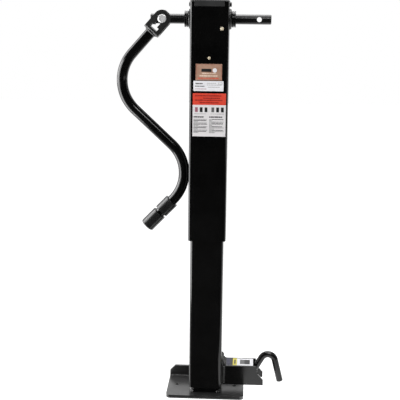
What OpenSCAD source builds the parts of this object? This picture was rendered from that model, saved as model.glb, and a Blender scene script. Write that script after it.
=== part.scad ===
// Trailer tongue jack: square direct-weld body, side crank, screw lift and a sprung drop leg.
// Millimetres, +Z up. The floor is Z = 0, the tube axis is X = Y = 0, the front face looks to -Y.

/* [Foot plate] */
// Width of the foot plate across X
plate_w = 188; // [180:1:196]
// How far the plate reaches in front of the tube axis
plate_front = 56; // [50:1:62]
// How far the plate reaches behind the tube axis, to the back of its lip
plate_back = 84; // [80:1:90]
// Thickness of the plate and of its turned-up lip
plate_t = 8; // [6:0.5:9]
// Height of the turned-up rear lip above the floor
lip_h = 34; // [30:1:38]
// Distance between the two holes in the plate
plate_hole_span = 142; // [130:1:150]
// Diameter of the two holes in the plate
plate_hole_d = 9; // [7:0.5:12]

/* [Tubes] */
// Outer tube size across flats
outer_w = 88.9; // [88.5:0.1:89.5]
// Outer tube wall
outer_wall = 4.5; // [4.3:0.1:4.6]
// Outer tube length, below the cap
outer_len = 552.5; // [548:0.5:558]
// Height of the outer tube's lower end above the floor
outer_bottom = 388; // [384:1:392]
// Inner tube size across flats
inner_w = 78.5; // [78.2:0.1:78.8]
// Inner tube wall
inner_wall = 6.35; // [6:0.05:6.5]
// Height of the inner tube's lower end above the floor
inner_bottom = 21.5; // [20:0.5:24]
// Inner tube length
inner_len = 543.5; // [538:0.5:548]
// Drop leg size across flats
leg_w = 63.5; // [63:0.1:64]
// Drop leg wall
leg_wall = 4.8; // [4.4:0.1:5.2]
// Drop leg length above the foot plate
leg_len = 450; // [446:1:456]
// Distance between the pin holes along the drop leg
leg_hole_pitch = 85.75; // [84:0.25:88]

/* [Cross shaft] */
// Height of the cross shaft above the floor
shaft_z = 902; // [900:0.5:904]
// Cross shaft diameter
shaft_d = 22.2; // [21.8:0.1:22.4]
// Left end of the shaft, from the tube axis
shaft_left = 137.5; // [136:0.5:139]
// Right end of the shaft, from the tube axis
shaft_right = 140; // [134:1:146]
// Diameter of the cross hole in the free right end
cross_hole_d = 11.3; // [9:0.1:12.5]
// Distance of that hole from the tube axis
cross_hole_x = 112.5; // [108:0.5:118]
// Outside diameter of the shaft collars
collar_d = 37; // [34:1:40]

/* [Bevel gears] */
// Tooth module at the outer end
gear_module = 2.5; // [2.45:0.01:2.52]
// Teeth on the shaft pinion
pinion_teeth = 16; // [16:1:16]
// Teeth on the screw gear
gear_teeth = 24; // [24:1:24]
// Length of the teeth along the cone
gear_face = 11; // [9:0.5:11.5]
// How much thinner than half a pitch each tooth is, for backlash
tooth_thin = 0.45; // [0.4:0.05:0.7]

/* [Lift screw] */
// Outside diameter of the lead screw
screw_d = 28.6; // [27:0.1:29]
// Lead of the screw thread
screw_lead = 6.35; // [6:0.05:7]
// Height of the screw's lower end above the floor
screw_bottom = 450; // [446:1:456]

/* [Pull pin] */
// Diameter of the pull pin's rod
pin_d = 15.9; // [15:0.1:16]
// Height of the pull pin's axis above the floor
pin_z = 52.5; // [52:0.5:53]
// Radius of the pull pin's hook, to the middle of the rod
hook_r = 17.5; // [16.5:0.5:18]
// Depth of the pin bracket along Y
bracket_depth = 60; // [56:1:62]

/* [Crank handle] */
// Distance of the yoke pin from the tube axis
yoke_x = 110; // [109.5:0.25:110.5]
// How far the folded handle hangs below the shaft's line, in degrees
fold_deg = 48.5; // [47.5:0.5:49.5]
// Handle tube diameter
handle_d = 25.4; // [24.5:0.1:26]
// Bend radius of the handle tube, to its middle
handle_bend_r = 93; // [90:0.5:93.5]
// Diameter of the two sleeves on the handle's end
sleeve_d = 34.4; // [32:0.1:36]

/* [Hidden] */
$fn = 64;
eps = 0.01;
// Radial play of a turning joint, and of a part that is pressed on.
run_gap = 0.05;
press_gap = 0.02;
outer_r = outer_w / 2;
outer_in = outer_r - outer_wall;
outer_top = outer_bottom + outer_len;
inner_r = inner_w / 2;
inner_in = inner_r - inner_wall;
inner_top = inner_bottom + inner_len;
leg_r = leg_w / 2;
outer_corner = 7;
inner_corner = 9;
leg_corner = 8;
shaft_r = shaft_d / 2;
// Shaft bearings: a bronze bushing in a welded boss, with a collar outside it.
bushing_r = 14;
boss_end = outer_r + 6;
collar_start = boss_end + 0.3;
collar_len = 8;
// Cap on top of the outer tube.
cap_t = 3.5;
cap_lip_t = 1.5;
cap_lip_w = 68;
cap_lip_h = 10.5;
cap_screw_z = outer_top - 5;
cap_tab_t = 3;
// Shank of the cap screws and the grease fittings, and where the fittings are, as [x, z].
shank_r = 3;
fitting_places = [[28.4, shaft_z - 21.4], [0.4, shaft_z - 87]];
label_t = 0.25;
// Lift screw and its thrust bearing, from the gear downwards.
journal_r = 10;
hub_bottom = shaft_z - 38;
race_t = 4;
ball_gap = 8;
ball_r = ball_gap / 2 - 0.03;
ball_ring_r = 16;
ball_count = 10;
bearing_top = hub_bottom - 2 * race_t - ball_gap;
bearing_plate_t = 12;
shoulder_z = bearing_top - bearing_plate_t - 2;
screw_r = screw_d / 2;
screw_top = shaft_z - 15.5;
nut_h = 30;
// Bevel gears: pitch cone angles and the outer cone distance.
pressure_deg = 20;
pinion_cone = atan(pinion_teeth / gear_teeth);
gear_cone = 90 - pinion_cone;
cone_dist = gear_module * gear_teeth / (2 * sin(gear_cone));
tooth_tip = 0.9;
tooth_root = 1.1;
roll_pin_r = 2.5;
pinion_pin_x = 35.5;
gear_pin_z = shaft_z - 31;
// Yoke of the crank handle.
yoke_in = shaft_r + 0.6;
yoke_arm_t = 6;
yoke_half_w = 20;
yoke_eye = 18.4;
yoke_base_in = 31;
yoke_base_out = 40;
yoke_slot_half = 4.8;
yoke_pin_r = 4.5;
// Handle: slopes of its middle run and its grip, and the distances between the corners of its S.
handle_mid_deg = 42.9;
grip_deg = 46;
corner_1 = 157.8;
corner_2 = 304.7;
handle_wall = 2.6;
seam_gap = 0.1;
spigot_r = 9.5;
// Drop leg spring and its two cross rods.
spring_rod_r = 3;
spring_off = 20;
coil_steps = 12;
wire_sides = 6;
hanger_z = 500;
anchor_z = 145;
// Pin bracket.
doubler_t = 5;
doubler_bottom = 30;
doubler_h = 57;
bracket_x = inner_r + doubler_t;
bracket_bottom = 29;
bracket_top = 76;
bracket_wall = 5;
web_t = 4.5;
web_end = 117;
nose_x = 140.5;
guide_x = 96;
guide_t = 5;
pin_r = pin_d / 2;
pin_tip_x = inner_in + 0.4;
washer_x = 52;
washer_t = 2.5;

// A square outline with rounded corners.
module rounded_square(half, r) {
    square([2 * half, 2 * (half - r)], center = true);
    square([2 * (half - r), 2 * half], center = true);
    for (sx = [-1, 1], sy = [-1, 1])
        translate([sx * (half - r), sy * (half - r)])
            circle(r);
}

// A square tube standing on height z0.
module square_tube(half, wall, r, z0, len) {
    translate([0, 0, z0])
        linear_extrude(len)
            difference() {
                rounded_square(half, r);
                rounded_square(half - wall, r - wall > 1 ? r - wall : 1.5);
            }
}

// A round bar along +Z with a chamfer at each end.
module chamfered_bar(len, r, chamfer_0, chamfer_1) {
    if (chamfer_0 + chamfer_1 == 0)
        cylinder(r = r, h = len);
    else
        rotate_extrude()
            polygon(concat([[0, 0], [r - chamfer_0, 0]],
                chamfer_0 > 0 ? [[r, chamfer_0]] : [],
                chamfer_1 > 0 ? [[r, len - chamfer_1]] : [],
                [[r - chamfer_1, len], [0, len]]));
}

// A round bar along +X from x0 to x1 at height z.
module x_bar(r, x0, x1, z, y = 0) {
    translate([x0, y, z])
        rotate([0, 90, 0])
            cylinder(r = r, h = x1 - x0);
}

// A round bar along +Y from y0 to y1.
module y_bar(r, y0, y1, x, z) {
    translate([x, y0, z])
        rotate([-90, 0, 0])
            cylinder(r = r, h = y1 - y0);
}

// Body ------------------------------------------------------------------

module outer_tube() color("#141414") {
    difference() {
        square_tube(outer_r, outer_wall, outer_corner, outer_bottom, outer_len);
        x_bar(bushing_r + press_gap, -outer_r - 1, outer_r + 1, shaft_z);
        x_bar(shank_r + press_gap, -outer_r - 1, outer_r + 1, cap_screw_z);
        for (p = fitting_places)
            y_bar(shank_r + press_gap, -outer_r - 1, 0, p[0], p[1]);
    }
}

// Pressed lid with a lip down the front and a threaded tab inside each side wall.
module top_cap() color("#1a1a1a") {
    difference() {
        union() {
            translate([0, 0, outer_top])
                linear_extrude(cap_t)
                    rounded_square(outer_r, outer_corner);
            translate([-cap_lip_w / 2, -outer_r - cap_lip_t, outer_top - cap_lip_h])
                cube([cap_lip_w, cap_lip_t, cap_lip_h + cap_t]);
            for (s = [-1, 1])
                translate([s * (outer_in - 0.1 - cap_tab_t / 2) - cap_tab_t / 2, -20, outer_top - 16])
                    cube([cap_tab_t, 40, 16 + eps]);
        }
        x_bar(shank_r + press_gap, -outer_r - 1, outer_r + 1, cap_screw_z);
    }
}

module cap_screws() color("#8c8c8c") {
    for (s = [-1, 1])
        translate([s * outer_r, 0, cap_screw_z])
            rotate([0, s * 90, 0]) {
                cylinder(r = 5.6, h = 1.2);
                cylinder(r = 5.2, h = 4.4, $fn = 6);
                translate([0, 0, -9])
                    cylinder(r = shank_r, h = 9 + eps);
            }
}

module shaft_bosses() color("#161616") {
    for (s = [-1, 1])
        translate([s * outer_r, 0, shaft_z])
            rotate([0, s * 90, 0])
                difference() {
                    cylinder(r1 = 21.5, r2 = 17.5, h = boss_end - outer_r);
                    translate([0, 0, -1])
                        cylinder(r = bushing_r + press_gap, h = boss_end - outer_r + 2);
                }
}

module shaft_bushings() color("#a5793a") {
    for (s = [-1, 1])
        translate([s * outer_in, 0, shaft_z])
            rotate([0, s * 90, 0])
                difference() {
                    cylinder(r = bushing_r, h = boss_end - outer_in);
                    translate([0, 0, -1])
                        cylinder(r = shaft_r + run_gap, h = boss_end - outer_in + 2);
                }
}

module bearing_plate() color("#3a3a3c") {
    difference() {
        translate([0, 0, bearing_top - bearing_plate_t])
            linear_extrude(bearing_plate_t)
                rounded_square(outer_in - press_gap, 3);
        translate([0, 0, bearing_top - bearing_plate_t - 1])
            cylinder(r = journal_r + run_gap, h = bearing_plate_t + 2);
    }
}

// A flat thrust race with its lower face at z0.
module race(z0, bore) {
    translate([0, 0, z0])
        difference() {
            cylinder(r = 22, h = race_t);
            translate([0, 0, -1])
                cylinder(r = bore, h = race_t + 2);
        }
}

module lower_race() color("#8f9194") race(bearing_top, journal_r + 0.3);

module upper_race() color("#8f9194") race(hub_bottom - race_t, journal_r + press_gap);

module bearing_balls() color("#b8bbc0") {
    for (i = [0 : ball_count - 1])
        rotate([0, 0, i * 360 / ball_count])
            translate([ball_ring_r, 0, bearing_top + race_t + ball_gap / 2])
                sphere(r = ball_r);
}

module bearing_cage() color("#b08a45") {
    difference() {
        translate([0, 0, bearing_top + race_t + ball_gap / 2 - 1])
            cylinder(r = 21, h = 2);
        translate([0, 0, bearing_top + race_t])
            cylinder(r = 11, h = ball_gap);
        for (i = [0 : ball_count - 1])
            rotate([0, 0, i * 360 / ball_count])
                translate([ball_ring_r, 0, bearing_top + race_t])
                    cylinder(r = ball_r + 0.08, h = ball_gap);
    }
}

// A grease fitting on the front face: hexagon, neck and round nipple.
module grease_fitting(place, head) {
    translate([place[0], -outer_r, place[1]])
        rotate([90, 0, 0]) {
            translate([0, 0, -outer_wall])
                cylinder(r = shank_r, h = outer_wall + eps);
            cylinder(r = head, h = 2.4, $fn = 6);
            cylinder(r = head * 0.62, h = 4.6);
            translate([0, 0, 4.6])
                cylinder(r1 = head * 0.62, r2 = head * 0.4, h = 1.6);
        }
}

module grease_fittings() color("#c8a75c") {
    grease_fitting(fitting_places[0], 4.6);
    grease_fitting(fitting_places[1], 3.7);
}

// A label on the front face, between two heights.
module face_label(x0, x1, z0, z1) {
    translate([x0, -outer_r - label_t, z0])
        cube([x1 - x0, label_t, z1 - z0]);
}

module rating_label() color("#a3755c") face_label(-30, 30, 764.5, 801.5);

module serial_label() color("#e8e8e6") face_label(-35, 34, 740, 763);

module warning_label() color("#d8d4d0") face_label(-36, 40, 636, 735);

// Crank -----------------------------------------------------------------

module cross_shaft() color("#1b1b1b") {
    difference() {
        run([-shaft_left, shaft_z], [1, 0], shaft_left + shaft_right, shaft_r, 1.5, 1.5);
        y_bar(cross_hole_d / 2, -20, 20, cross_hole_x, shaft_z);
        y_bar(yoke_pin_r + press_gap, -20, 20, -yoke_x, shaft_z);
        y_bar(roll_pin_r + press_gap, -20, 20, pinion_pin_x, shaft_z);
    }
}

// A stop collar with a groove round its middle, one on each side.
module shaft_collars() color("#202020") {
    for (s = [-1, 1])
        translate([s * collar_start, 0, shaft_z])
            rotate([0, s * 90, 0])
                difference() {
                    cylinder(r = collar_d / 2, h = collar_len);
                    translate([0, 0, -1])
                        cylinder(r = shaft_r + press_gap, h = collar_len + 2);
                    translate([0, 0, collar_len / 2 - 0.7])
                        difference() {
                            cylinder(r = collar_d / 2 + 1, h = 1.4);
                            translate([0, 0, -1])
                                cylinder(r = collar_d / 2 - 2, h = 3.4);
                        }
                }
}

// Involute angle in degrees.
function inv(a) = tan(a) * 180 / PI - a;

// Half the angle of a tooth at radius r, on a spur gear with pitch radius rv.
function half_tooth(r, rv, rb) =
    (PI * gear_module / 2 - tooth_thin) / (2 * rv) * 180 / PI + inv(pressure_deg) - inv(acos(rb / max(r, rb)));

// The tooth ring of a bevel gear: apex at the origin, opening towards +Z, phase in tooth pitches.
module bevel_teeth(teeth, cone, phase) {
    rv = gear_module * teeth / (2 * cos(cone));
    rb = rv * cos(pressure_deg);
    tip = rv + tooth_tip * gear_module;
    root = rv - tooth_root * gear_module;
    first = max(rb, root);
    steps = 4;
    flank = concat(root < rb - 0.05 ? [root] : [], [for (i = [0 : steps]) first + (tip - first) * i / steps]);
    count = len(flank);
    // Each tooth: up one flank and down the other, as [radius, azimuth].
    profile = [for (k = [0 : teeth - 1], j = [0 : 2 * count - 1])
        let (r = flank[j < count ? j : 2 * count - 1 - j],
            side = j < count ? -1 : 1)
        [r, (k + phase) * 360 / teeth + side * half_tooth(r, rv, rb) / cos(cone)]];
    n = len(profile);
    inner = 1 - gear_face / cone_dist;
    loops = [for (s = [1, inner], p = profile)
        s * [p[0] * cos(cone) * cos(p[1]), p[0] * cos(cone) * sin(p[1]), cone_dist / cos(cone) - p[0] * sin(cone)]];
    back = cone_dist / cos(cone) - root * sin(cone);
    points = concat(loops, [[0, 0, back], [0, 0, inner * back]]);
    sides = [for (i = [0 : n - 1]) [i, (i + 1) % n, n + (i + 1) % n, n + i]];
    outer_cap = [for (i = [0 : n - 1]) [2 * n, (i + 1) % n, i]];
    inner_cap = [for (i = [0 : n - 1]) [2 * n + 1, n + i, n + (i + 1) % n]];
    polyhedron(points = points, faces = concat(sides, outer_cap, inner_cap), convexity = 8);
}

module bevel_pinion() color("#5c5e62") {
    difference() {
        union() {
            translate([0, 0, shaft_z])
                rotate([0, 90, 0])
                    bevel_teeth(pinion_teeth, pinion_cone, 0);
            x_bar(16.5, 30.5, outer_in - 0.6, shaft_z);
        }
        x_bar(shaft_r + press_gap, 10, outer_r, shaft_z);
        y_bar(roll_pin_r + press_gap, -20, 20, pinion_pin_x, shaft_z);
    }
}

module pinion_roll_pin() color("#8f9194") y_bar(roll_pin_r, -16, 16, pinion_pin_x, shaft_z);

// Rivet through the yoke and the shaft, with a flat head in front and a formed one behind.
module yoke_pin() color("#b9bcc0") {
    out = yoke_in + yoke_arm_t + 0.2;
    y_bar(yoke_pin_r, -out - eps, out + eps, -yoke_x, shaft_z);
    translate([-yoke_x, -out, shaft_z])
        rotate([90, 0, 0]) {
            cylinder(r = 9.9, h = 2.2);
            translate([0, 0, 2.2 - eps])
                cylinder(r1 = 9.9, r2 = 7.6, h = 1.6);
        }
    translate([-yoke_x, out, shaft_z])
        rotate([-90, 0, 0])
            cylinder(r1 = 7.8, r2 = 6, h = 2.6);
}

// Handle ----------------------------------------------------------------

// Puts children in the yoke's frame: the pin at the origin, +X along the yoke to the handle.
module in_yoke() {
    translate([-yoke_x, 0, shaft_z])
        rotate([0, 180 - fold_deg, 0])
            children();
}

module handle_yoke() color("#171717") {
    in_yoke()
        difference() {
            union() {
                for (s = [-1, 1])
                    translate([0, s * (yoke_in + yoke_arm_t / 2), 0])
                        rotate([90, 0, 0])
                            linear_extrude(yoke_arm_t, center = true)
                                difference() {
                                    union() {
                                        intersection() {
                                            circle(yoke_half_w);
                                            translate([-yoke_eye, -yoke_half_w])
                                                square([yoke_eye, 2 * yoke_half_w]);
                                        }
                                        translate([0, -yoke_half_w])
                                            square([yoke_base_out, 2 * yoke_half_w]);
                                    }
                                    circle(yoke_slot_half);
                                    translate([0, -yoke_slot_half])
                                        square([yoke_base_in - 2, 2 * yoke_slot_half]);
                                    translate([22.8, -9.9])
                                        square([yoke_base_in - 22.8, 19.8]);
                                }
                translate([yoke_base_in, -yoke_in - 1, -yoke_half_w])
                    cube([yoke_base_out - yoke_base_in, 2 * yoke_in + 2, 2 * yoke_half_w]);
            }
            // The edges of the base are chamfered where it meets the arms.
            for (s = [-1, 1])
                translate([yoke_base_out, s * (yoke_in + yoke_arm_t), 0])
                    rotate([0, 0, 45])
                        cube([6, 6, 2 * yoke_half_w + 2], center = true);
        }
}

// Unit vectors along the three straight runs of the handle, as [x, z].
run_1 = [-cos(fold_deg), -sin(fold_deg)];
run_2 = [cos(handle_mid_deg), -sin(handle_mid_deg)];
run_3 = [-cos(grip_deg), -sin(grip_deg)];
handle_start = [-yoke_x, shaft_z] + yoke_base_out * run_1;
corner_a = handle_start + corner_1 * run_1;
corner_b = corner_a + corner_2 * run_2;
// Angle turned at each bend and the length that it takes from each run.
bend_1 = 180 - fold_deg - handle_mid_deg;
bend_2 = 180 - handle_mid_deg - grip_deg;
take_1 = handle_bend_r * tan(bend_1 / 2);
take_2 = handle_bend_r * tan(bend_2 / 2);

// A straight run of round bar in the crank's plane, from p along the unit vector u.
module run(p, u, len, r, chamfer_0 = 0, chamfer_1 = 0) {
    translate([p[0], 0, p[1]])
        rotate([0, atan2(u[0], u[1]), 0])
            chamfered_bar(len, r, chamfer_0, chamfer_1);
}

// A bend of round bar in the crank's plane, from p along u, turning towards the left of u by angle.
module bend(p, u, angle, side, r) {
    centre = p + handle_bend_r * side * [u[1], -u[0]];
    translate([centre[0], 0, centre[1]])
        rotate([0, atan2(u[0], u[1]), 0])
            rotate([90, 0, 0])
                rotate([0, 0, side > 0 ? 180 - angle : 0])
                    rotate_extrude(angle = angle)
                        translate([handle_bend_r, 0])
                            circle(r);
}

// A barely proud ring of metal where a straight run meets a bend, which joins the two.
module seam(p, r) {
    translate([p[0], 0, p[1]])
        sphere(r + 0.08);
}

// The handle's whole S, as a bar of radius r whose first and last runs have the lengths given.
module handle_path(r, first, last) {
    a_in = corner_a - take_1 * run_1;
    a_out = corner_a + take_1 * run_2;
    b_in = corner_b - take_2 * run_2;
    b_out = corner_b + take_2 * run_3;
    run(a_in - first * run_1, run_1, first - seam_gap, r);
    bend(a_in, run_1, bend_1, -1, r);
    run(a_out + seam_gap * run_2, run_2, corner_2 - take_1 - take_2 - 2 * seam_gap, r);
    bend(b_in, run_2, bend_2, 1, r);
    run(b_out + seam_gap * run_3, run_3, last - seam_gap, r);
    for (p = [a_in, a_out, b_in, b_out])
        seam(p, r);
}

last_run = 45;
grip_start = corner_b + (take_2 + last_run) * run_3;
grip_len = 44;

module handle_tube() color("#151515") {
    difference() {
        handle_path(handle_d / 2, corner_1 - take_1, last_run);
        handle_path(handle_d / 2 - handle_wall, corner_1 - take_1 + 1, last_run - 12);
    }
    // Spigot on the solid end of the tube, which carries the turning grip.
    run(grip_start - 5 * run_3, run_3, 44, spigot_r);
}

module handle_sleeve() color("#1d1d1d") {
    difference() {
        run(grip_start - 41 * run_3, run_3, 35, sleeve_d / 2);
        run(grip_start - 42 * run_3, run_3, 37, handle_d / 2 + press_gap);
    }
}

module grip_sleeve() color("#222222") {
    difference() {
        run(grip_start + 0.4 * run_3, run_3, grip_len, sleeve_d / 2, 0.8, 2);
        run(grip_start, run_3, 39.5, spigot_r + run_gap);
    }
}

// Lift screw --------------------------------------------------------------

module lead_screw() color("#77797d") {
    turns = floor((shoulder_z - screw_bottom - 6) / screw_lead);
    depth = 2.6;
    // Grooves at the thread's pitch stand for the helix.
    edge = concat([[0, screw_bottom], [screw_r - 2, screw_bottom], [screw_r, screw_bottom + 2]],
        [for (i = [0 : turns - 1], k = [0 : 3])
            [k == 0 || k == 3 ? screw_r : screw_r - depth,
                screw_bottom + 4 + (i + [0, 0.15, 0.45, 0.6][k]) * screw_lead]],
        [[screw_r, shoulder_z], [journal_r, shoulder_z], [journal_r, screw_top], [0, screw_top]]);
    difference() {
        rotate_extrude()
            polygon(edge);
        y_bar(roll_pin_r + press_gap, -30, 30, 0, gear_pin_z);
    }
}

module screw_gear() color("#5c5e62") {
    difference() {
        union() {
            translate([0, 0, shaft_z])
                rotate([180, 0, 0])
                    bevel_teeth(gear_teeth, gear_cone, 0.5);
            translate([0, 0, hub_bottom])
                cylinder(r = 19, h = 17);
        }
        translate([0, 0, hub_bottom - 1])
            cylinder(r = journal_r + press_gap, h = 40);
        y_bar(roll_pin_r + press_gap, -30, 30, 0, gear_pin_z);
    }
}

module gear_roll_pin() color("#8f9194") y_bar(roll_pin_r, -18.5, 18.5, 0, gear_pin_z);

module screw_washer() color("#8f9194") {
    translate([0, 0, shoulder_z])
        difference() {
            cylinder(r = 17, h = 1.9);
            translate([0, 0, -1])
                cylinder(r = journal_r + press_gap, h = 4);
        }
}

// Inner tube --------------------------------------------------------------

module inner_tube() color("#131313") {
    difference() {
        square_tube(inner_r, inner_wall, inner_corner, inner_bottom, inner_len);
        x_bar(pin_r + run_gap, 0, inner_r + 1, pin_z);
        x_bar(spring_rod_r + press_gap, -inner_r - 1, inner_r + 1, hanger_z, spring_off);
    }
}

module lift_nut() color("#8a6f3c") {
    difference() {
        translate([0, 0, inner_top - nut_h])
            linear_extrude(nut_h)
                rounded_square(inner_in - press_gap, 3);
        translate([0, 0, inner_top - nut_h - 1])
            cylinder(r = screw_r + run_gap, h = nut_h + 2);
    }
}

module spring_hanger() color("#6e7074") {
    x_bar(spring_rod_r, -inner_r, inner_r, hanger_z, spring_off);
}

module pin_doubler() color("#161616") {
    difference() {
        translate([inner_r, -29, doubler_bottom])
            cube([doubler_t, 58, doubler_h]);
        x_bar(pin_r + run_gap, inner_r - 1, bracket_x + 1, pin_z);
    }
}

// Inverted U with a sloping nose on the end of each flange.
module pin_bracket() color("#161616") {
    difference() {
        translate([0, bracket_depth / 2, 0])
            rotate([90, 0, 0])
                linear_extrude(bracket_depth)
                    polygon([[bracket_x, bracket_bottom], [nose_x, bracket_bottom], [nose_x, 42],
                        [128.5, 55], [126, 63], [123, bracket_top], [bracket_x, bracket_top]]);
        translate([bracket_x - 1, -bracket_depth / 2 + bracket_wall, bracket_bottom - 1])
            cube([120, bracket_depth - 2 * bracket_wall, bracket_top - web_t - bracket_bottom + 1]);
        // The web stops short of the flanges, to let the hook through.
        translate([web_end, -bracket_depth / 2 + bracket_wall, bracket_bottom])
            cube([40, bracket_depth - 2 * bracket_wall, 60]);
    }
}

module pin_guide_plate() color("#1a1a1a") {
    half = bracket_depth / 2 - bracket_wall - press_gap;
    difference() {
        translate([guide_x, -half, bracket_bottom + 1])
            cube([guide_t, 2 * half, bracket_top - web_t - bracket_bottom - 1 - press_gap]);
        x_bar(pin_r + run_gap, guide_x - 1, guide_x + guide_t + 1, pin_z);
    }
}

module bracket_label() color("#d9d9d6") {
    translate([51, -24, bracket_top])
        cube([65, 48, label_t]);
}

// Pull pin ----------------------------------------------------------------

// Hook corner angles and positions, as [x, z].
rise_deg = 60;
fall_deg = 76;
pin_bend_r = 18;
hook_centre = [151.9, 80.6];
rise_top = hook_centre + hook_r * [-sin(rise_deg), cos(rise_deg)];
rise_foot_x = rise_top[0] - (rise_top[1] - pin_z) / tan(rise_deg);
pin_bend_x = rise_foot_x - pin_bend_r * tan(rise_deg / 2);
rise = [cos(rise_deg), sin(rise_deg)];
fall = [cos(fall_deg), -sin(fall_deg)];
rise_start = [rise_foot_x, pin_z] + pin_bend_r * tan(rise_deg / 2) * rise;
fall_top = hook_centre + hook_r * [sin(fall_deg), cos(fall_deg)];
fall_len = 56;

module pull_pin() color("#4a4b4d") {
    difference() {
        union() {
            run([pin_tip_x, pin_z], [1, 0], pin_bend_x - pin_tip_x - seam_gap, pin_r, 2, 0);
            translate([pin_bend_x, 0, pin_z + pin_bend_r])
                rotate([90, 0, 0])
                    rotate([0, 0, -90])
                        rotate_extrude(angle = rise_deg)
                            translate([pin_bend_r, 0])
                                circle(pin_r);
            run(rise_start + seam_gap * rise, rise, norm(rise_top - rise_start) - 2 * seam_gap, pin_r);
            translate([hook_centre[0], 0, hook_centre[1]])
                rotate([90, 0, 0])
                    rotate([0, 0, 90 - fall_deg])
                        rotate_extrude(angle = rise_deg + fall_deg)
                            translate([hook_r, 0])
                                circle(pin_r);
            run(fall_top + seam_gap * fall, fall, fall_len, pin_r, 0, 1.6);
            for (p = [[pin_bend_x, pin_z], rise_start, rise_top, fall_top])
                seam(p, pin_r);
        }
        y_bar(1.6 + press_gap, -12, 12, washer_x - 2, pin_z);
    }
}

module pin_washer() color("#9a9ca0") {
    translate([washer_x, 0, pin_z])
        rotate([0, 90, 0])
            difference() {
                cylinder(r = 14, h = washer_t);
                translate([0, 0, -1])
                    cylinder(r = pin_r + press_gap, h = washer_t + 2);
            }
}

module pin_cotter() color("#9a9ca0") y_bar(1.6, -13, 13, washer_x - 2, pin_z);

// Points of a helix about +Z from height z0, each with the direction out from its axis.
function helix(ring_r, len, turns, z0) = [for (i = [0 : turns * coil_steps])
    let (a = i * 360 / coil_steps)
    [[ring_r * cos(a), ring_r * sin(a), z0 + len * i / (turns * coil_steps)], [cos(a), sin(a), 0]]];

// A round wire along a path of [point, direction across the wire].
module wire(path, wire_r) {
    n = len(path);
    points = [for (i = [0 : n - 1])
        let (t = path[min(i + 1, n - 1)][0] - path[max(i - 1, 0)][0],
            u = path[i][1],
            v = cross(t, u) / norm(cross(t, u)))
        for (k = [0 : wire_sides - 1])
            path[i][0] + wire_r * (u * cos(k * 360 / wire_sides) + v * sin(k * 360 / wire_sides))];
    side_faces = [for (i = [0 : n - 2], k = [0 : wire_sides - 1])
        let (a = i * wire_sides + k,
            b = i * wire_sides + (k + 1) % wire_sides)
        each [[a, b, a + wire_sides], [b, b + wire_sides, a + wire_sides]]];
    first = [for (k = [0 : wire_sides - 1]) wire_sides - 1 - k];
    last = [for (k = [0 : wire_sides - 1]) (n - 1) * wire_sides + k];
    polyhedron(points = points, faces = concat(side_faces, [first], [last]), convexity = 10);
}

module pin_spring() color("#77797d") {
    translate([washer_x + washer_t + 0.1, 0, pin_z])
        rotate([0, 90, 0])
            wire(helix(10.8, guide_x - washer_x - washer_t - 4, 5, 1.9), 1.6);
}

// Drop leg ----------------------------------------------------------------

module drop_leg() color("#121212") {
    difference() {
        square_tube(leg_r, leg_wall, leg_corner, plate_t, leg_len);
        for (i = [0 : 4])
            x_bar(pin_r + 0.5, 0, leg_r + 1, pin_z + i * leg_hole_pitch);
        x_bar(spring_rod_r + press_gap, -leg_r - 1, leg_r + 1, anchor_z, spring_off);
    }
}

// Flat plate with rounded front corners and a turned-up rear lip with clipped corners.
module foot_plate() color("#1c1c1d") {
    inside = 4;
    outside = inside + plate_t;
    bend_y = plate_back - outside;
    front_r = 12;
    clip = 13;
    difference() {
        intersection() {
            rotate([90, 0, 90])
                linear_extrude(plate_w, center = true) {
                    translate([-plate_front, 0])
                        square([plate_front + bend_y, plate_t]);
                    translate([plate_back - plate_t, outside])
                        square([plate_t, lip_h - outside]);
                    translate([bend_y, outside])
                        intersection() {
                            difference() {
                                circle(outside);
                                circle(inside);
                            }
                            translate([0, -outside])
                                square(outside);
                        }
                }
            linear_extrude(lip_h) {
                translate([-plate_w / 2, front_r - plate_front])
                    square([plate_w, plate_front + plate_back - front_r]);
                translate([front_r - plate_w / 2, -plate_front])
                    square([plate_w - 2 * front_r, front_r + 1]);
                for (s = [-1, 1])
                    translate([s * (plate_w / 2 - front_r), front_r - plate_front])
                        circle(front_r);
            }
        }
        for (s = [-1, 1]) {
            translate([s * plate_hole_span / 2, (plate_back - plate_front) / 2, -1])
                cylinder(r = plate_hole_d / 2, h = plate_t + 2);
            translate([s * plate_w / 2, plate_back, lip_h])
                rotate([0, 45, 0])
                    cube([clip * sqrt(2), 40, clip * sqrt(2)], center = true);
        }
    }
}

module spring_anchor() color("#6e7074") {
    x_bar(spring_rod_r, -leg_r, leg_r, anchor_z, spring_off);
}

// Points of an arc in a plane of constant x, about [y, z], as the angle goes from a0 to a1.
function hook_arc(x, y, z, r, a0, a1, steps) = [for (i = [0 : steps])
    let (a = a0 + (a1 - a0) * i / steps)
    [[x, y + r * cos(a), z + r * sin(a)], [1, 0, 0]]];

// Tension spring whose ends loop round the two cross rods.
module return_spring() color("#8a8c90") {
    ring_r = 4.4;
    loop_r = spring_rod_r + 1.2;
    shank = 12;
    low = anchor_z + shank + loop_r;
    high = hanger_z - shank - loop_r;
    path = concat(
        hook_arc(ring_r, 0, anchor_z, loop_r, 30, -180, 10),
        hook_arc(ring_r, 0, anchor_z + shank, loop_r, 180, 108, 3),
        helix(ring_r, high - low, 30, low),
        hook_arc(ring_r, 0, hanger_z - shank, loop_r, -72, 0, 3),
        hook_arc(ring_r, 0, hanger_z, loop_r, 0, 210, 10));
    translate([-spring_off, spring_off, 0])
        wire(path, 0.95);
}

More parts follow.
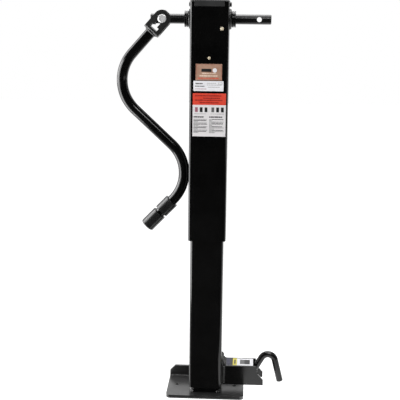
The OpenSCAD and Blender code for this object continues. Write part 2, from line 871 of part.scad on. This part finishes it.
outer_tube();
top_cap();
cap_screws();
shaft_bosses();
shaft_bushings();
bearing_plate();
lower_race();
grease_fittings();
rating_label();
serial_label();
warning_label();
cross_shaft();
shaft_collars();
bevel_pinion();
pinion_roll_pin();
yoke_pin();
handle_yoke();
handle_tube();
handle_sleeve();
grip_sleeve();
lead_screw();
screw_gear();
gear_roll_pin();
upper_race();
bearing_balls();
bearing_cage();
screw_washer();
inner_tube();
lift_nut();
spring_hanger();
pin_doubler();
pin_bracket();
pin_guide_plate();
bracket_label();
pull_pin();
pin_washer();
pin_cotter();
pin_spring();
drop_leg();
foot_plate();
spring_anchor();
return_spring();
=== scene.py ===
import math

import bpy
from mathutils import Matrix, Vector, noise


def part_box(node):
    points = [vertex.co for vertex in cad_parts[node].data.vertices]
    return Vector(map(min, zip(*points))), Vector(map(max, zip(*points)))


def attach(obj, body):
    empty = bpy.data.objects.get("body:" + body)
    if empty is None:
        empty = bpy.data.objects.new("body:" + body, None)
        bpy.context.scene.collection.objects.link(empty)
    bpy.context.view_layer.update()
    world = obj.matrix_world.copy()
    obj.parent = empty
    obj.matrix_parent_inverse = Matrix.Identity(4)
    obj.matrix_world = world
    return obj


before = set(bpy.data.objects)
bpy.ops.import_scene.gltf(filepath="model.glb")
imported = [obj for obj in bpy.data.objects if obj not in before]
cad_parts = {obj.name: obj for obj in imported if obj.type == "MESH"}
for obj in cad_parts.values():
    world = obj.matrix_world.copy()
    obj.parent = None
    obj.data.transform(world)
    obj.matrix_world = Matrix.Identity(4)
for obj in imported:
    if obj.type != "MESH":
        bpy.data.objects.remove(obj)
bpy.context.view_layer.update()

# The looks of a trailer tongue jack: materials for its CAD parts, weld beads and plain label prints.
# Everything is in metres, in the CAD frame: +Z up the tubes, -Y to the labelled front.

SCENE = bpy.context.scene
MM = 0.001


# Camera, floor and light --------------------------------------------------------------

CAMERA_PLACE = Vector((0.0898, -2.1651, 0.8803))
CAMERA_YAW = math.radians(2.876)
CAMERA_PITCH = math.radians(10.498)
CAMERA_ROLL = math.radians(0.664)
CAMERA_LENS_MM = 83.25


def make_camera():
    """A camera turned left by the yaw, down by the pitch and about its own axis by the roll."""
    data = bpy.data.cameras.new("camera")
    data.lens = CAMERA_LENS_MM
    data.sensor_width = 36.0
    data.clip_end = 60.0
    camera = bpy.data.objects.new("camera", data)
    upright = Matrix.Rotation(math.pi / 2 - CAMERA_PITCH, 4, "X")
    turn = Matrix.Rotation(CAMERA_YAW, 4, "Z")
    roll = Matrix.Rotation(CAMERA_ROLL, 4, "Z")
    camera.matrix_world = Matrix.Translation(CAMERA_PLACE) @ turn @ upright @ roll
    SCENE.collection.objects.link(camera)
    SCENE.camera = camera


def aim(obj, place, target):
    """Puts a light or panel at place, with its -Z axis towards target."""
    look = Vector(target) - Vector(place)
    obj.matrix_world = Matrix.Translation(place) @ look.to_track_quat("-Z", "Y").to_matrix().to_4x4()


def softbox(name, place, target, width, height, power):
    data = bpy.data.lights.new(name, "AREA")
    data.shape = "RECTANGLE"
    data.size = width
    data.size_y = height
    data.energy = power
    light = bpy.data.objects.new(name, data)
    light.visible_camera = False
    SCENE.collection.objects.link(light)
    aim(light, place, target)


def make_world():
    """White to the eye; to surfaces, a bright sweep behind and to the left, and a dark room in front."""
    world = bpy.data.worlds.new("studio")
    world.use_nodes = True
    SCENE.world = world
    tree = world.node_tree
    back = tree.nodes["Background"]
    rays = tree.nodes.new("ShaderNodeLightPath")
    place = tree.nodes.new("ShaderNodeTexCoord")
    towards = tree.nodes.new("ShaderNodeVectorMath")
    towards.operation = "DOT_PRODUCT"
    towards.inputs[1].default_value = (-0.45, 0.89, 0.0)
    tree.links.new(place.outputs["Generated"], towards.inputs[0])
    level = tree.nodes.new("ShaderNodeMapRange")
    level.interpolation_type = "SMOOTHSTEP"
    for key, value in {"From Min": 0.0, "From Max": 0.45, "To Min": 0.015, "To Max": 0.85}.items():
        level.inputs[key].default_value = value
    tree.links.new(towards.outputs["Value"], level.inputs["Value"])
    pick = tree.nodes.new("ShaderNodeMapRange")
    tree.links.new(rays.outputs["Is Camera Ray"], pick.inputs["Value"])
    tree.links.new(level.outputs["Result"], pick.inputs["To Min"])
    pick.inputs["To Max"].default_value = 1.0
    tree.links.new(pick.outputs["Result"], back.inputs["Strength"])
    back.inputs["Color"].default_value = (1.0, 1.0, 1.0, 1.0)


def flat_panel(name, x0, x1, y0, y1, z, material):
    mesh = bpy.data.meshes.new(name)
    mesh.from_pydata([(x0, y0, z), (x1, y0, z), (x1, y1, z), (x0, y1, z)], [], [(0, 1, 2, 3)])
    mesh.materials.append(material)
    obj = bpy.data.objects.new(name, mesh)
    SCENE.collection.objects.link(obj)
    return obj


# Materials ----------------------------------------------------------------------------

class Look:
    """A Principled material, with the few node patterns that the object's finishes share."""

    def __init__(self, name, **uniform):
        self.material = bpy.data.materials.new(name)
        self.material.use_nodes = True
        self.tree = self.material.node_tree
        self.shader = self.tree.nodes["Principled BSDF"]
        for socket, value in uniform.items():
            self.shader.inputs[socket.replace("_", " ")].default_value = value
        self.place = self.add("ShaderNodeTexCoord").outputs["Object"]

    def add(self, kind, inputs=None, **settings):
        node = self.tree.nodes.new(kind)
        for key, value in settings.items():
            setattr(node, key, value)
        for key, value in (inputs or {}).items():
            if isinstance(value, bpy.types.NodeSocket):
                self.tree.links.new(value, node.inputs[key])
            else:
                node.inputs[key].default_value = value
        return node

    def noise(self, scale, detail=3.0, stretch=(1.0, 1.0, 1.0)):
        place = self.place
        if stretch != (1.0, 1.0, 1.0):
            place = self.add("ShaderNodeMapping", {"Vector": place, "Scale": stretch}).outputs[0]
        return self.add("ShaderNodeTexNoise", {"Vector": place, "Scale": scale, "Detail": detail}).outputs[0]

    def remap(self, value, low, high, to_low, to_high):
        inputs = {"Value": value, "From Min": low, "From Max": high, "To Min": to_low, "To Max": to_high}
        return self.add("ShaderNodeMapRange", inputs).outputs[0]

    def mix(self, factor, first, second):
        node = self.add("ShaderNodeMix", {0: factor, 6: first, 7: second}, data_type="RGBA")
        return node.outputs[2]

    def feed(self, socket, value):
        self.tree.links.new(value, self.shader.inputs[socket])

    def relief(self, height, strength, distance, edge=0.0):
        """Bump from a pattern, over edges rounded to the radius given."""
        inputs = {"Height": height, "Strength": strength, "Distance": distance}
        if edge:
            inputs["Normal"] = self.add("ShaderNodeBevel", {"Radius": edge}, samples=6).outputs[0]
        self.feed("Normal", self.add("ShaderNodeBump", inputs).outputs[0])


def grey(level, warm=0.0):
    return (level * (1 + warm), level, level * (1 - warm), 1.0)


def paint(name, dark, light, rough, peel=0.10, edge=0.0009, coat=0.0):
    """Black enamel: slow changes of depth, specks of dust, and the orange peel of sprayed paint."""
    look = Look(name, IOR=1.5, Coat_Weight=coat, Coat_Roughness=0.2)
    depth = look.mix(look.remap(look.noise(16.0), 0.35, 0.65, 0.0, 1.0), grey(dark), grey(light))
    specks = look.remap(look.noise(1500.0, 1.0), 0.70, 0.80, 0.0, 0.5)
    look.feed("Base Color", look.mix(specks, depth, grey(0.045)))
    smears = look.noise(38.0, 5.0, (1.0, 1.0, 0.35))
    look.feed("Roughness", look.remap(smears, 0.3, 0.7, rough - 0.035, rough + 0.06))
    look.relief(look.noise(330.0, 2.0), peel, 0.0003, edge)
    return look.material


def metal(name, dark, light, rough, grain, stretch=(1.0, 1.0, 1.0), strength=0.2, edge=0.0005,
          metallic=1.0):
    """Bare or plated metal: mottled colour and roughness, with a fine grain or tool marks."""
    look = Look(name, Metallic=metallic)
    cloud = look.noise(70.0, 4.0)
    fine = look.noise(grain, 3.0, stretch)
    base = look.mix(look.remap(cloud, 0.3, 0.7, 0.0, 1.0), dark, light)
    shade = tuple(0.45 * c for c in dark[:3]) + (1.0,)
    look.feed("Base Color", look.mix(look.remap(fine, 0.5, 0.75, 0.0, 0.55), base, shade))
    look.feed("Roughness", look.remap(fine, 0.3, 0.7, rough - 0.08, rough + 0.12))
    look.relief(fine, strength, 0.0002, edge)
    return look.material


def film(name, colour, faded, rough=0.38):
    """Printed plastic film: faint blotches, a fine print grain and slight waves from the metal below."""
    look = Look(name, IOR=1.46)
    base = look.mix(look.remap(look.noise(45.0, 4.0), 0.35, 0.7, 0.0, 1.0), colour, faded)
    grain = look.noise(2400.0, 1.0)
    darker = tuple(0.8 * c for c in colour[:3]) + (1.0,)
    look.feed("Base Color", look.mix(look.remap(grain, 0.5, 0.8, 0.0, 0.5), base, darker))
    look.feed("Roughness", look.remap(look.noise(90.0), 0.3, 0.7, rough - 0.06, rough + 0.08))
    look.relief(look.noise(60.0, 2.0), 0.12, 0.0004)
    return look.material


ENAMEL = paint("black_enamel", 0.0010, 0.0024, 0.11)
PLATE_ENAMEL = paint("black_plate_enamel", 0.014, 0.024, 0.30, 0.16, coat=0.7)
SHAFT_ENAMEL = paint("black_shaft_enamel", 0.0025, 0.0055, 0.19, 0.12)
SATIN_ENAMEL = paint("black_satin_enamel", 0.018, 0.030, 0.36, 0.14)
SLEEVE = paint("black_sleeve", 0.006, 0.011, 0.24, 0.16, 0.0012)
CAST_ENAMEL = paint("black_cast_enamel", 0.010, 0.019, 0.28, 0.35, 0.0014)
WELD_ENAMEL = paint("black_weld_enamel", 0.012, 0.030, 0.22, 0.25, 0.0)
DARK_ROD = paint("dark_rod", 0.004, 0.010, 0.19, 0.18, 0.0012)
ZINC = metal("zinc", grey(0.62), grey(0.88), 0.46, 900.0, strength=0.5, metallic=0.55)
STEEL = metal("oiled_steel", grey(0.26, 0.02), grey(0.42, 0.01), 0.30, 500.0, (0.15, 1.0, 1.0))
BRONZE = metal("bronze", (0.44, 0.27, 0.11, 1.0), (0.60, 0.40, 0.19, 1.0), 0.34, 600.0)
BRASS = metal("brass", (0.82, 0.70, 0.48, 1.0), (0.96, 0.87, 0.70, 1.0), 0.40, 700.0, strength=0.15,
              metallic=0.5)
TAN_FILM = film("tan_film", (0.33, 0.185, 0.125, 1.0), (0.47, 0.30, 0.215, 1.0), 0.42)
WHITE_FILM = film("white_film", (0.74, 0.74, 0.77, 1.0), (0.82, 0.82, 0.84, 1.0))
PANEL_FILM = film("panel_film", (0.66, 0.64, 0.65, 1.0), (0.74, 0.72, 0.72, 1.0))
RED_INK = film("red_ink", (0.62, 0.040, 0.018, 1.0), (0.70, 0.060, 0.028, 1.0))
DARK_RED_INK = film("dark_red_ink", (0.22, 0.010, 0.006, 1.0), (0.34, 0.018, 0.010, 1.0))
BLACK_INK = film("black_ink", grey(0.012), grey(0.022))
GREY_INK = film("grey_ink", grey(0.085), grey(0.16))
PALE_INK = film("pale_ink", grey(0.26), grey(0.38))
ROSE_INK = film("rose_ink", (0.30, 0.11, 0.15, 1.0), (0.42, 0.18, 0.22, 1.0))
CREAM_INK = film("cream_ink", (0.72, 0.56, 0.44, 1.0), (0.80, 0.66, 0.55, 1.0))
NAVY_INK = film("navy_ink", (0.008, 0.008, 0.036, 1.0), (0.014, 0.014, 0.055, 1.0))
YELLOW_INK = film("yellow_ink", (0.60, 0.50, 0.03, 1.0), (0.72, 0.64, 0.10, 1.0))

FINISH = {
    "outer_tube": ENAMEL, "inner_tube": ENAMEL, "drop_leg": ENAMEL, "foot_plate": PLATE_ENAMEL,
    "handle_tube": ENAMEL, "pin_doubler": ENAMEL, "pin_bracket": ENAMEL, "pin_guide_plate": ENAMEL,
    "top_cap": SATIN_ENAMEL, "cap_screws": SATIN_ENAMEL, "cross_shaft": SHAFT_ENAMEL,
    "shaft_collars": SHAFT_ENAMEL, "shaft_bosses": SHAFT_ENAMEL, "handle_yoke": CAST_ENAMEL,
    "handle_sleeve": SLEEVE, "grip_sleeve": SLEEVE, "pull_pin": DARK_ROD,
    "yoke_pin": ZINC, "pin_washer": ZINC, "pin_cotter": ZINC,
    "shaft_bushings": BRONZE, "lift_nut": BRONZE, "bearing_cage": BRONZE, "grease_fittings": BRASS,
    "rating_label": TAN_FILM, "serial_label": WHITE_FILM, "warning_label": PANEL_FILM,
    "bracket_label": WHITE_FILM,
}


def finish_cad_nodes():
    for name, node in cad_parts.items():
        node.data.materials.clear()
        node.data.materials.append(FINISH.get(name, STEEL))


# Pieces -------------------------------------------------------------------------------

def add_piece(name, points, faces, material, body, smooth=False):
    mesh = bpy.data.meshes.new(name)
    mesh.from_pydata(points, [], faces)
    mesh.materials.append(material)
    if smooth:
        mesh.shade_smooth()
    obj = bpy.data.objects.new(name, mesh)
    SCENE.collection.objects.link(obj)
    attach(obj, body)
    return obj


def weld_bead(name, path, body, legs, closed=False, pitch=0.0024):
    """A rippled fillet weld. Each step of the path is (corner point, direction of leg 0, of leg 1)."""
    points = []
    faces = []
    arc_steps = 7
    ring = arc_steps + 2
    count = len(path)
    travelled = 0.0
    for i, (corner, side_a, side_b) in enumerate(path):
        before = path[i - 1][0] if i or closed else corner
        after = path[(i + 1) % count][0] if i + 1 < count or closed else corner
        along = (after - before).normalized()
        if i:
            travelled += (corner - path[i - 1][0]).length
        wander = noise.noise(corner * 260.0)
        ends = 1.0 if closed else min(1.0, 0.45 + 0.4 * min(i, count - 1 - i))
        points.append(corner - 0.12 * (legs[0] * side_a + legs[1] * side_b))
        for k in range(arc_steps + 1):
            angle = math.pi / 2 * k / arc_steps
            lag = 0.9 * math.sin(2 * angle)
            ripple = 1 + 0.09 * math.cos(2 * math.pi * travelled / pitch - lag * 2.2) + 0.16 * wander
            swell = (0.80 + 0.20 * abs(math.cos(2 * angle))) * ripple * ends
            reach = legs[0] * math.cos(angle) * side_a + legs[1] * math.sin(angle) * side_b
            points.append(corner + swell * reach)
    steps = count if closed else count - 1
    for i in range(steps):
        a = i * ring
        b = (i + 1) % count * ring
        for k in range(ring):
            k_next = (k + 1) % ring
            faces.append((a + k, a + k_next, b + k_next, b + k))
    if not closed:
        faces.append(tuple(range(ring - 1, -1, -1)))
        faces.append(tuple((count - 1) * ring + k for k in range(ring)))
    return add_piece(name, points, faces, WELD_ENAMEL, body, smooth=True)


def straight_path(start, end, side_a, side_b, step=0.0005):
    start = Vector(start)
    end = Vector(end)
    count = max(2, round((end - start).length / step))
    return [(start.lerp(end, i / count), Vector(side_a), Vector(side_b)) for i in range(count + 1)]


def circle_path(centre, axis, radius, step=0.0005):
    """Round a boss: leg 0 goes outwards and leg 1 along the axis."""
    axis = Vector(axis).normalized()
    first = axis.orthogonal().normalized()
    second = axis.cross(first)
    count = round(2 * math.pi * radius / step)
    path = []
    for i in range(count):
        angle = 2 * math.pi * i / count
        out = math.cos(angle) * first + math.sin(angle) * second
        path.append((Vector(centre) + radius * out, out, axis))
    return path


# Welds --------------------------------------------------------------------------------

def boss_welds():
    low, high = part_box("shaft_bosses")
    radius = (high.z - low.z) / 2
    height = (high.z + low.z) / 2
    face = -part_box("rating_label")[1].y
    for side, label in ((-1, "left"), (1, "right")):
        path = circle_path((side * face, 0, height), (side, 0, 0), radius)
        weld_bead(f"boss_weld_{label}", path, "outer", (1.7 * MM, 4.0 * MM), closed=True)


def leg_welds():
    """Fillets along the left and right feet of the drop leg, which wrap a little round its corners."""
    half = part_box("drop_leg")[1].x
    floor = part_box("drop_leg")[0].z
    corner = 8 * MM
    flat = half - corner
    up = Vector((0, 0, 1))
    arc = 12
    for side, label in ((-1, "left"), (1, "right")):
        path = []
        for k in range(arc + 1):
            angle = math.radians(70 - 70 * k / arc)
            out = Vector((side * math.cos(angle), -math.sin(angle), 0))
            path.append((Vector((side * flat, -flat, floor)) + corner * out, out, up))
        run = straight_path((side * half, -flat, floor), (side * half, flat, floor), (side, 0, 0), up)
        path += run[1:]
        for k in range(1, arc + 1):
            angle = math.radians(70 * k / arc)
            out = Vector((side * math.cos(angle), math.sin(angle), 0))
            path.append((Vector((side * flat, flat, floor)) + corner * out, out, up))
        weld_bead(f"leg_weld_{label}", path, "leg", (6.5 * MM, 6.5 * MM), pitch=0.0034)


def bracket_welds():
    """The doubler to the inner tube, and the bracket to the doubler."""
    low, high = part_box("pin_doubler")
    out = (1, 0, 0)
    for side, label in ((-1, "front"), (1, "back")):
        y = high.y * side
        path = straight_path((low.x, y, low.z), (low.x, y, high.z), (0, side, 0), out)
        weld_bead(f"doubler_weld_{label}", path, "inner", (2.6 * MM, 4.2 * MM))
    path = straight_path((low.x, low.y, high.z), (low.x, high.y, high.z), (0, 0, 1), out)
    weld_bead("doubler_weld_top", path, "inner", (5.0 * MM, 4.2 * MM))
    bracket_low, bracket_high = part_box("pin_bracket")
    for side, label in ((-1, "front"), (1, "back")):
        y = bracket_high.y * side - side * 1.2 * MM
        start = (high.x - 1.6 * MM, y, bracket_low.z + 2 * MM)
        end = (high.x - 1.6 * MM, y, bracket_high.z)
        path = straight_path(start, end, (0, side, 0), out)
        weld_bead(f"bracket_weld_{label}", path, "inner", (3.4 * MM, 6.2 * MM), pitch=0.0036)
    start = (high.x, bracket_low.y + 3 * MM, bracket_high.z)
    end = (high.x, bracket_high.y - 3 * MM, bracket_high.z)
    path = straight_path(start, end, (0, 0, 1), out)
    weld_bead("bracket_weld_top", path, "inner", (5.5 * MM, 5.0 * MM), pitch=0.0032)


FOLD = math.radians(48.5)
YOKE_LENGTH = 40 * MM
HANDLE_RADIUS = 12.7 * MM


def handle_weld():
    """Round the handle tube, where it stands on the yoke's base."""
    pin_low, pin_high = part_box("yoke_pin")
    pin = (pin_low + pin_high) / 2
    down = Vector((-math.cos(FOLD), 0, -math.sin(FOLD)))
    base = Vector((pin.x, 0, pin.z)) + YOKE_LENGTH * down
    path = circle_path(base, down, HANDLE_RADIUS)
    weld_bead("handle_weld", path, "handle", (3.6 * MM, 3.4 * MM), closed=True)


# Printed labels -----------------------------------------------------------------------

INK_T = 0.05 * MM


def ink(name, outlines, place, lift, material, body):
    """Thin closed prints on a label. Each outline is a list of (u, v) in mm, and place puts it."""
    points = []
    faces = []
    for outline in outlines:
        first = len(points)
        count = len(outline)
        for layer in (lift, lift + 1):
            points += [place(u * MM, v * MM, layer * INK_T) for u, v in outline]
        faces.append(tuple(first + count - 1 - k for k in range(count)))
        faces.append(tuple(first + count + k for k in range(count)))
        for k in range(count):
            k_next = (k + 1) % count
            faces.append((first + k, first + k_next, first + count + k_next, first + count + k))
    return add_piece(name, points, faces, material, body)


def block(u0, v0, u1, v1):
    return [(u0, v0), (u1, v0), (u1, v1), (u0, v1)]


def disc(u, v, radius, steps=40):
    turns = [2 * math.pi * i / steps for i in range(steps)]
    return [(u + radius * math.cos(t), v + radius * math.sin(t)) for t in turns]


def scatter(i):
    """A number from 0 to 1 that looks random, and is the same on each run."""
    value = math.sin(i * 12.9898 + 4.1) * 43758.5453
    return value - math.floor(value)


def rows(u0, u1, top, bottom, pitch, height, seed, short=()):
    """Rows of plain bars in place of printed lines: each row is a few blocks of uneven length.
    The rows whose numbers are in short stop early, as at the end of a paragraph."""
    outlines = []
    for row in range(max(1, round((top - bottom) / pitch))):
        v = top - row * pitch
        end = u1 - (u1 - u0) * 0.18 * scatter(seed + row * 3.3) ** 2
        if row in short:
            end = u0 + (u1 - u0) * (0.15 + 0.3 * scatter(seed + row * 5.1))
        u = u0
        piece = 0
        while u < end - 0.8:
            length = 2.4 + 6.5 * scatter(seed + row * 7.7 + piece * 1.9)
            outlines.append(block(u, v - height, min(u + length, end), v))
            u += length + 0.6
            piece += 1
    return outlines


def front_of(node):
    """Places prints on the front of a label of the body: u is +X and v is +Z."""
    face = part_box(node)[0].y

    def place(u, v, out):
        return Vector((u, face - out, v))
    return place


def rating_print():
    place = front_of("rating_label")
    edge = [block(-28.6, 799.4, 28.6, 799.9), block(-28.6, 766.2, 28.6, 766.7),
            block(-28.6, 766.7, -28.1, 799.4), block(28.1, 766.7, 28.6, 799.4)]
    ink("rating_border", edge, place, 0, DARK_RED_INK, "outer")
    ink("rating_bar", [block(-17, 783.6, 6, 790.6)], place, 0, BLACK_INK, "outer")
    ink("rating_disc", [disc(13.5, 787.2, 5.0)], place, 0, WHITE_FILM, "outer")
    lines = rows(-15, 17, 780.6, 778.4, 2.2, 1.5, 11) + rows(-21, 20, 775.8, 772.2, 4.0, 2.4, 23)
    ink("rating_lines", lines, place, 0, CREAM_INK, "outer")
    ink("rating_foot", rows(-25, 26, 770.2, 768.0, 2.2, 1.7, 31), place, 0, RED_INK, "outer")


def serial_print():
    place = front_of("serial_label")
    heads = rows(-30, -11, 758.4, 755.4, 3.0, 2.8, 41) + rows(-31, -9, 752.0, 749.8, 2.2, 2.0, 43)
    ink("serial_heads", heads, place, 0, GREY_INK, "outer")
    lines = rows(-4, 20, 758.6, 756.6, 2.0, 1.2, 51) + rows(-4, 31, 754.6, 752.6, 2.0, 1.2, 54)
    lines += rows(-2, 31, 749.8, 747.8, 2.0, 1.3, 57)
    box = [block(22, 759.2, 31, 759.8), block(22, 755.4, 31, 756.0), block(22, 756.0, 22.7, 759.2),
           block(30.3, 756.0, 31, 759.2)]
    ink("serial_lines", lines + box, place, 0, PALE_INK, "outer")
    ink("serial_foot", rows(-31, 0, 745.4, 743.4, 2.0, 1.2, 61), place, 0, ROSE_INK, "outer")


def warning_print():
    """A red band with darker bars, and a grey panel with plain squares over two columns of bars."""
    place = front_of("warning_label")
    low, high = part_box("warning_label")
    left, right, top = low.x / MM, high.x / MM, high.z / MM
    band_end = 708.5
    ink("warning_band", [block(left, band_end, right, top)], place, 0, RED_INK, "outer")
    bars = rows(-31, 32, 730.6, 728.4, 2.2, 2.4, 13) + rows(-12, 27, 725.2, 723.0, 2.2, 2.6, 17)
    bars += rows(-31, 36, 720.4, 718.2, 2.2, 2.4, 19) + rows(-20, 26, 714.8, 712.6, 2.2, 2.2, 29)
    ink("warning_bars", bars, place, 1, DARK_RED_INK, "outer")

    def square(u):
        return block(u, 692.0, u + 6.4, 703.0)
    squares = [square(u) for u in (-19.6, -8.6, 18.0, 29.0)]
    ink("warning_squares", squares, place, 0, BLACK_INK, "outer")
    ink("warning_square_left", [square(-30.6)], place, 0, ROSE_INK, "outer")
    ink("warning_square_right", [square(7.0)], place, 0, GREY_INK, "outer")
    captions = rows(-33, -2, 688.6, 686.6, 2.0, 1.1, 71) + rows(5, 36, 688.6, 686.6, 2.0, 1.1, 73)
    ink("warning_captions", captions, place, 0, PALE_INK, "outer")
    heads = rows(-34, -6, 682.6, 680.0, 2.6, 3.4, 77) + rows(2, 33, 682.6, 680.0, 2.6, 3.4, 79)
    ink("warning_heads", heads, place, 0, GREY_INK, "outer")
    lines_top = 676.2
    lines_end = 643.2
    pitch = 2.75
    height = 1.75
    lines = rows(-34, -2, lines_top, lines_end, pitch, height, 83, (2, 5, 8, 11))
    lines += rows(2, 36, lines_top, lines_end, pitch, height, 89, (1, 3, 5, 8, 11))
    ink("warning_lines", lines, place, 0, PALE_INK, "outer")
    dark = rows(-34, -2, lines_top - pitch, lines_end, 3 * pitch, height, 97)
    dark += rows(8, 36, lines_top, lines_end, 3 * pitch, height, 99)
    ink("warning_dark_lines", dark, place, 1, GREY_INK, "outer")


def bracket_print():
    """On the web of the bracket: plain navy, black, yellow, grey and black fields."""
    low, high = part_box("bracket_label")
    top = high.z

    def place(u, v, out):
        return Vector((u, v, top + out))
    x0 = low.x / MM
    y0, y1 = low.y / MM, high.y / MM
    navy_end = x0 + 9.5
    black_end = x0 + 15.5
    yellow_end = x0 + 25.5
    ink("bracket_navy", [block(x0, y0, navy_end, y1)], place, 0, NAVY_INK, "inner")
    ink("bracket_black", [block(navy_end, y0, black_end, y1)], place, 0, BLACK_INK, "inner")
    ink("bracket_yellow", [block(black_end, y0, yellow_end, y1)], place, 0, YELLOW_INK, "inner")
    middle = (black_end + yellow_end) / 2
    ink("bracket_bar", [block(middle - 1.6, -14, middle + 1.6, 14)], place, 1, BLACK_INK, "inner")
    grey_start = x0 + 33
    dark_start = x0 + 44
    dark_end = x0 + 57
    ink("bracket_grey_field", [block(grey_start, -15, dark_start, 15)], place, 0, GREY_INK, "inner")
    ink("bracket_dark_field", [block(dark_start, -15, dark_end, 15)], place, 0, BLACK_INK, "inner")


# The scene ----------------------------------------------------------------------------

# The floor lies just below the lowest place that the foot reaches, with the leg dropped and the jack
# wound right out, so that it hides the leg at no pose.
FLOOR_HEIGHT = -0.40


def make_stage():
    white = Look("pale_floor", IOR=1.4, Emission_Strength=0.96)
    white.feed("Base Color", white.mix(white.noise(3.0), grey(0.34), grey(0.38)))
    white.feed("Roughness", white.remap(white.noise(12.0), 0.3, 0.7, 0.75, 0.85))
    flat_panel("floor", -12, 12, -12, 14, FLOOR_HEIGHT, white.material)
    # Near-black colour for sheets that only reflections see: a painted dark reflection.
    black = Look("painted_dark_reflection", Roughness=0.9)
    black.feed("Base Color", black.mix(black.noise(5.0), grey(0.008), grey(0.012)))
    # Dark sheets on the floor in front of the view, which only polished surfaces show: they block no light
    # and cast no shade, and paint a dark reflection into the gloss.
    split = 0.094
    for name, x0, x1, near in (("painted_reflection_left", -4, split, -0.06), ("painted_reflection_right", split, 4, -0.30)):
        reflection_sheet = flat_panel(name, x0, x1, -9, near, 0.0005, black.material)
        reflection_sheet.visible_camera = False
        reflection_sheet.visible_diffuse = False
        reflection_sheet.visible_shadow = False
    softbox("key", (0.9, -2.4, 2.9), (0, 0, 0.7), 1.6, 1.2, 48)
    softbox("top", (0.2, 0.6, 3.0), (0, 0, 0.4), 2.6, 2.0, 80)
    softbox("left", (-2.2, 0.5, 1.5), (0, 0, 0.6), 1.0, 2.2, 34)
    softbox("left_strip", (-0.79, -0.14, 0.52), (0, 0, 0.5), 0.5, 1.04, 9.5)
    softbox("right", (2.4, 0.9, 1.3), (0, 0, 0.5), 0.6, 1.8, 8)


SCENE.view_settings.view_transform = "Standard"
make_camera()
make_world()
make_stage()
finish_cad_nodes()
boss_welds()
leg_welds()
bracket_welds()
handle_weld()
rating_print()
serial_print()
warning_print()
bracket_print()
